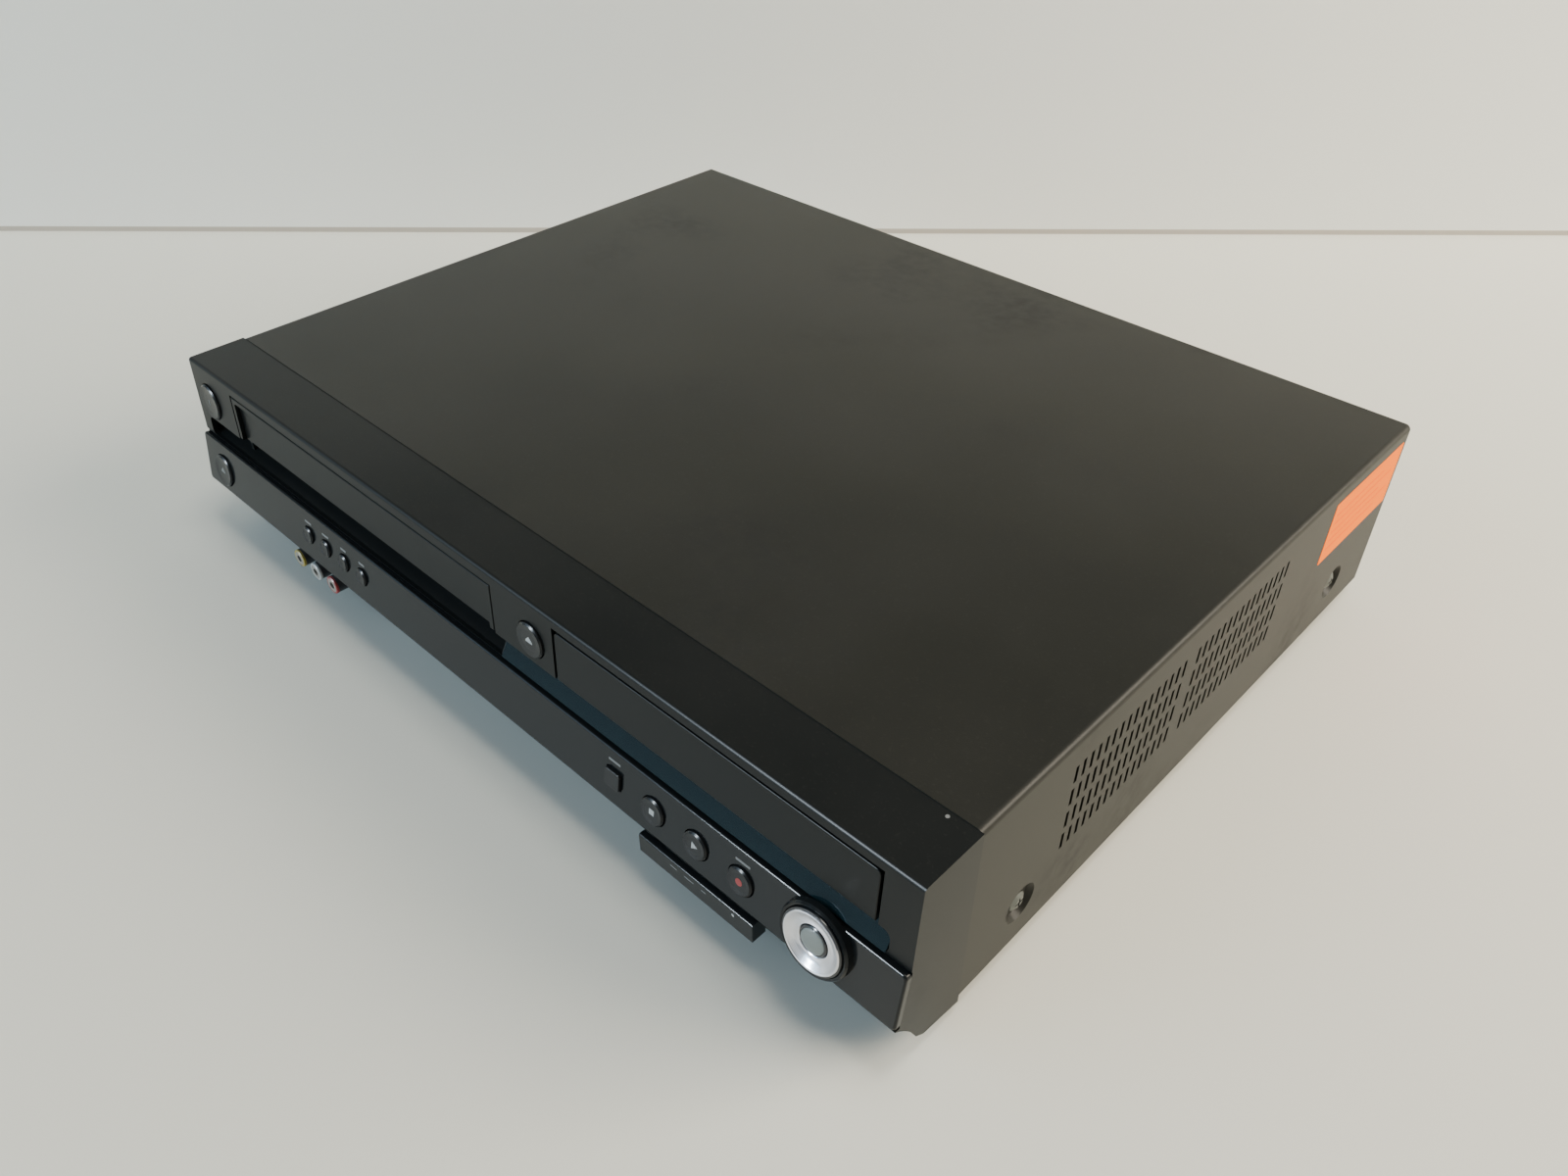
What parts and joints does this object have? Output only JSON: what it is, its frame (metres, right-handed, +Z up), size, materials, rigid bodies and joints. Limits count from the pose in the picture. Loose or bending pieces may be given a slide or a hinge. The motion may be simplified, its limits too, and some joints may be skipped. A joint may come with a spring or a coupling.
{
  "type": "disc and video cassette player",
  "caption": "Low black home player with a motor-driven disc tray, a cassette slot with a swinging door, push keys, a dial and sockets front and rear.",
  "frame": {"origin": "middle of the player's length and depth, on the surface it stands on", "axes": "+X to the right seen from the front, the front faces -Y, +Z up"},
  "size_m": [0.43, 0.348, 0.0895],
  "materials": {
    "case_paint": "fine matt texture",
    "front_plastic": "satin",
    "fascia_gloss": "polished",
    "smoked_window": "polished, tinted",
    "key_plastic": "satin",
    "dial_metal": "bright plated",
    "dial_lens": "milky",
    "inner_black": "moulded",
    "inner_white": "moulded",
    "zinc_steel": "zinc plated",
    "rear_paint": "matt",
    "drum_metal": "turned",
    "bright_steel": "ground",
    "socket_plastic": "moulded",
    "circuit_board": "lacquered",
    "can_steel": "tinned",
    "ribbon_grey": "satin",
    "foot_rubber": "matt"
  },
  "bodies": {
    "case": {"bottom_chassis": "zinc_steel", "top_cover": "case_paint", "rear_panel": "rear_paint", "front_moulding": "front_plastic", "lower_fascia": "fascia_gloss", "display_window": "smoked_window", "front_board": "circuit_board", "feet": "foot_rubber", "cover_screws": "bright_steel", "dial_bezel": "fascia_gloss", "front_sockets": "socket_plastic", "flap_sockets": "socket_plastic", "main_board": "circuit_board", "power_board": "circuit_board", "tuner_can": "can_steel", "rear_sockets": "socket_plastic", "mains_inlet": "socket_plastic", "ribbon_cables": "ribbon_grey", "drive_frame": "inner_black", "tray_drive": "bright_steel", "clamper_bridge": "zinc_steel", "deck_chassis": "zinc_steel", "lower_drum": "drum_metal", "deck_motors": "bright_steel", "tape_path": "bright_steel", "carriage_frame": "zinc_steel"},
    "tray": {"disc_tray": "inner_black", "tray_fascia": "front_plastic"},
    "pinion": {"tray_pinion": "inner_white"},
    "traverse": {"traverse_chassis": "zinc_steel", "guide_rods": "bright_steel", "spindle_motor": "bright_steel"},
    "turntable": {"turntable": "inner_black"},
    "clamper": {"clamper": "inner_black"},
    "sled": {"pickup_sled": "inner_black"},
    "screw": {"lead_screw": "inner_white"},
    "head_drum": {"upper_drum": "drum_metal"},
    "supply_reel": {"supply_reel": "inner_white"},
    "take_up_reel": {"take_up_reel": "inner_white"},
    "capstan": {"capstan": "bright_steel"},
    "pinch": {"pinch_arm": "zinc_steel"},
    "supply_guide": {"supply_guide": "bright_steel"},
    "take_up_guide": {"take_up_guide": "bright_steel"},
    "sliders": {"carriage_sliders": "inner_white"},
    "holder": {"cassette_holder": "zinc_steel"},
    "door": {"cassette_door": "front_plastic"},
    "flap": {"jack_flap": "fascia_gloss"},
    "dial": {"dial_ring": "dial_metal"},
    "dial_key": {"dial_centre": "dial_lens"},
    "power_button": {"power_button": "key_plastic"},
    "disc_open_button": {"disc_open_button": "key_plastic"},
    "eject_button": {"eject_button": "key_plastic"},
    "preset_button_1": {"preset_button_1": "key_plastic"},
    "preset_button_2": {"preset_button_2": "key_plastic"},
    "preset_button_3": {"preset_button_3": "key_plastic"},
    "preset_button_4": {"preset_button_4": "key_plastic"},
    "square_button": {"square_button": "key_plastic"},
    "stop_button": {"stop_button": "key_plastic"},
    "play_button": {"play_button": "key_plastic"},
    "record_button": {"record_button": "key_plastic"}
  },
  "joints": [
    {"name": "tray_slide", "type": "slide", "parent": "case", "child": "tray", "axis": [0, -1, 0], "range_m": [0, 0.13]},
    {"name": "pinion_turn", "type": "hinge", "parent": "case", "child": "pinion", "pos_m": [0.08225, -0.12186, 0.0612], "axis": [0, 0, 1], "range_deg": [0, 749.8]},
    {"name": "traverse_drop", "type": "hinge", "parent": "case", "child": "traverse", "pos_m": [0.12625, 0.00314, 0.056], "axis": [1, 0, 0], "range_deg": [0, 4.5]},
    {"name": "turntable_turn", "type": "hinge", "parent": "traverse", "child": "turntable", "pos_m": [0.12625, -0.09385, 0.0692], "axis": [0, 0, 1], "continuous": true},
    {"name": "clamper_turn", "type": "hinge", "parent": "case", "child": "clamper", "pos_m": [0.12625, -0.09385, 0.0722], "axis": [0, 0, 1], "continuous": true},
    {"name": "sled_slide", "type": "slide", "parent": "traverse", "child": "sled", "axis": [0, 1, 0], "range_m": [0, 0.034]},
    {"name": "screw_turn", "type": "hinge", "parent": "traverse", "child": "screw", "pos_m": [0.15925, -0.08586, 0.0606], "axis": [0, 1, 0], "range_deg": [0, 1229]},
    {"name": "drum_turn", "type": "hinge", "parent": "case", "child": "head_drum", "pos_m": [-0.0795, 0.07615, 0.029], "axis": [0, -0.0958, 0.9954], "continuous": true},
    {"name": "supply_reel_turn", "type": "hinge", "parent": "case", "child": "supply_reel", "pos_m": [-0.1275, -0.01986, 0.0263], "axis": [0, 0, 1], "continuous": true},
    {"name": "take_up_reel_turn", "type": "hinge", "parent": "case", "child": "take_up_reel", "pos_m": [-0.0355, -0.01986, 0.0263], "axis": [0, 0, 1], "continuous": true},
    {"name": "capstan_turn", "type": "hinge", "parent": "case", "child": "capstan", "pos_m": [-0.0275, 0.03614, 0.0135], "axis": [0, 0, 1], "continuous": true},
    {"name": "pinch_swing", "type": "hinge", "parent": "case", "child": "pinch", "pos_m": [0.0025, 0.05015, 0.0263], "axis": [0, 0, 1], "range_deg": [-14.5, 0]},
    {"name": "supply_guide_swing", "type": "hinge", "parent": "case", "child": "supply_guide", "pos_m": [-0.0795, 0.07615, 0.0263], "axis": [0, 0, 1], "range_deg": [-68, 0]},
    {"name": "take_up_guide_swing", "type": "hinge", "parent": "case", "child": "take_up_guide", "pos_m": [-0.0795, 0.07615, 0.0263], "axis": [0, 0, 1], "range_deg": [0, 68]},
    {"name": "carriage_slide", "type": "slide", "parent": "case", "child": "sliders", "axis": [0, 1, 0], "range_m": [0, 0.066]},
    {"name": "holder_drop", "type": "slide", "parent": "sliders", "child": "holder", "axis": [0, 0, -1], "range_m": [0, 0.0185]},
    {"name": "door_swing", "type": "hinge", "parent": "case", "child": "door", "pos_m": [-0.0815, -0.16155, 0.0822], "axis": [1, 0, 0], "range_deg": [0, 85], "stiffness_Nm_per_rad": 0.004},
    {"name": "flap_swing", "type": "hinge", "parent": "case", "child": "flap", "pos_m": [0.1286, -0.16786, 0.0183], "axis": [1, 0, 0], "range_deg": [0, 95]},
    {"name": "dial_rock", "type": "hinge", "parent": "case", "child": "dial", "pos_m": [0.182, -0.16689, 0.04096], "axis": [0, 0.1478, 0.989], "range_deg": [-2, 2], "stiffness_Nm_per_rad": 0.5},
    {"name": "dial_push", "type": "slide", "parent": "case", "child": "dial_key", "axis": [0, 0.989, -0.1478], "range_m": [0, 0.0008], "stiffness_N_per_m": 1500},
    {"name": "power_button_push", "type": "slide", "parent": "case", "child": "power_button", "axis": [0, 0.9985, -0.0541], "range_m": [0, 0.0008], "stiffness_N_per_m": 1500},
    {"name": "disc_open_button_push", "type": "slide", "parent": "case", "child": "disc_open_button", "axis": [0, 0.9985, -0.0541], "range_m": [0, 0.0008], "stiffness_N_per_m": 1500},
    {"name": "eject_button_push", "type": "slide", "parent": "case", "child": "eject_button", "axis": [0, 0.989, -0.1478], "range_m": [0, 0.0008], "stiffness_N_per_m": 1500},
    {"name": "preset_button_1_push", "type": "slide", "parent": "case", "child": "preset_button_1", "axis": [0, 0.989, -0.1478], "range_m": [0, 0.0008], "stiffness_N_per_m": 1500},
    {"name": "preset_button_2_push", "type": "slide", "parent": "case", "child": "preset_button_2", "axis": [0, 0.989, -0.1478], "range_m": [0, 0.0008], "stiffness_N_per_m": 1500},
    {"name": "preset_button_3_push", "type": "slide", "parent": "case", "child": "preset_button_3", "axis": [0, 0.989, -0.1478], "range_m": [0, 0.0008], "stiffness_N_per_m": 1500},
    {"name": "preset_button_4_push", "type": "slide", "parent": "case", "child": "preset_button_4", "axis": [0, 0.989, -0.1478], "range_m": [0, 0.0008], "stiffness_N_per_m": 1500},
    {"name": "square_button_push", "type": "slide", "parent": "case", "child": "square_button", "axis": [0, 0.989, -0.1478], "range_m": [0, 0.0008], "stiffness_N_per_m": 1500},
    {"name": "stop_button_push", "type": "slide", "parent": "case", "child": "stop_button", "axis": [0, 0.989, -0.1478], "range_m": [0, 0.0008], "stiffness_N_per_m": 1500},
    {"name": "play_button_push", "type": "slide", "parent": "case", "child": "play_button", "axis": [0, 0.989, -0.1478], "range_m": [0, 0.0008], "stiffness_N_per_m": 1500},
    {"name": "record_button_push", "type": "slide", "parent": "case", "child": "record_button", "axis": [0, 0.989, -0.1478], "range_m": [0, 0.0008], "stiffness_N_per_m": 1500}
  ],
  "couplings": [
    {"joint": "pinion_turn", "follows": "tray_slide", "rad_per_m": 100},
    {"joint": "clamper_turn", "follows": "turntable_turn", "ratio": 1},
    {"joint": "screw_turn", "follows": "sled_slide", "rad_per_m": 628.32},
    {"joint": "take_up_guide_swing", "follows": "supply_guide_swing", "ratio": -1}
  ]
}
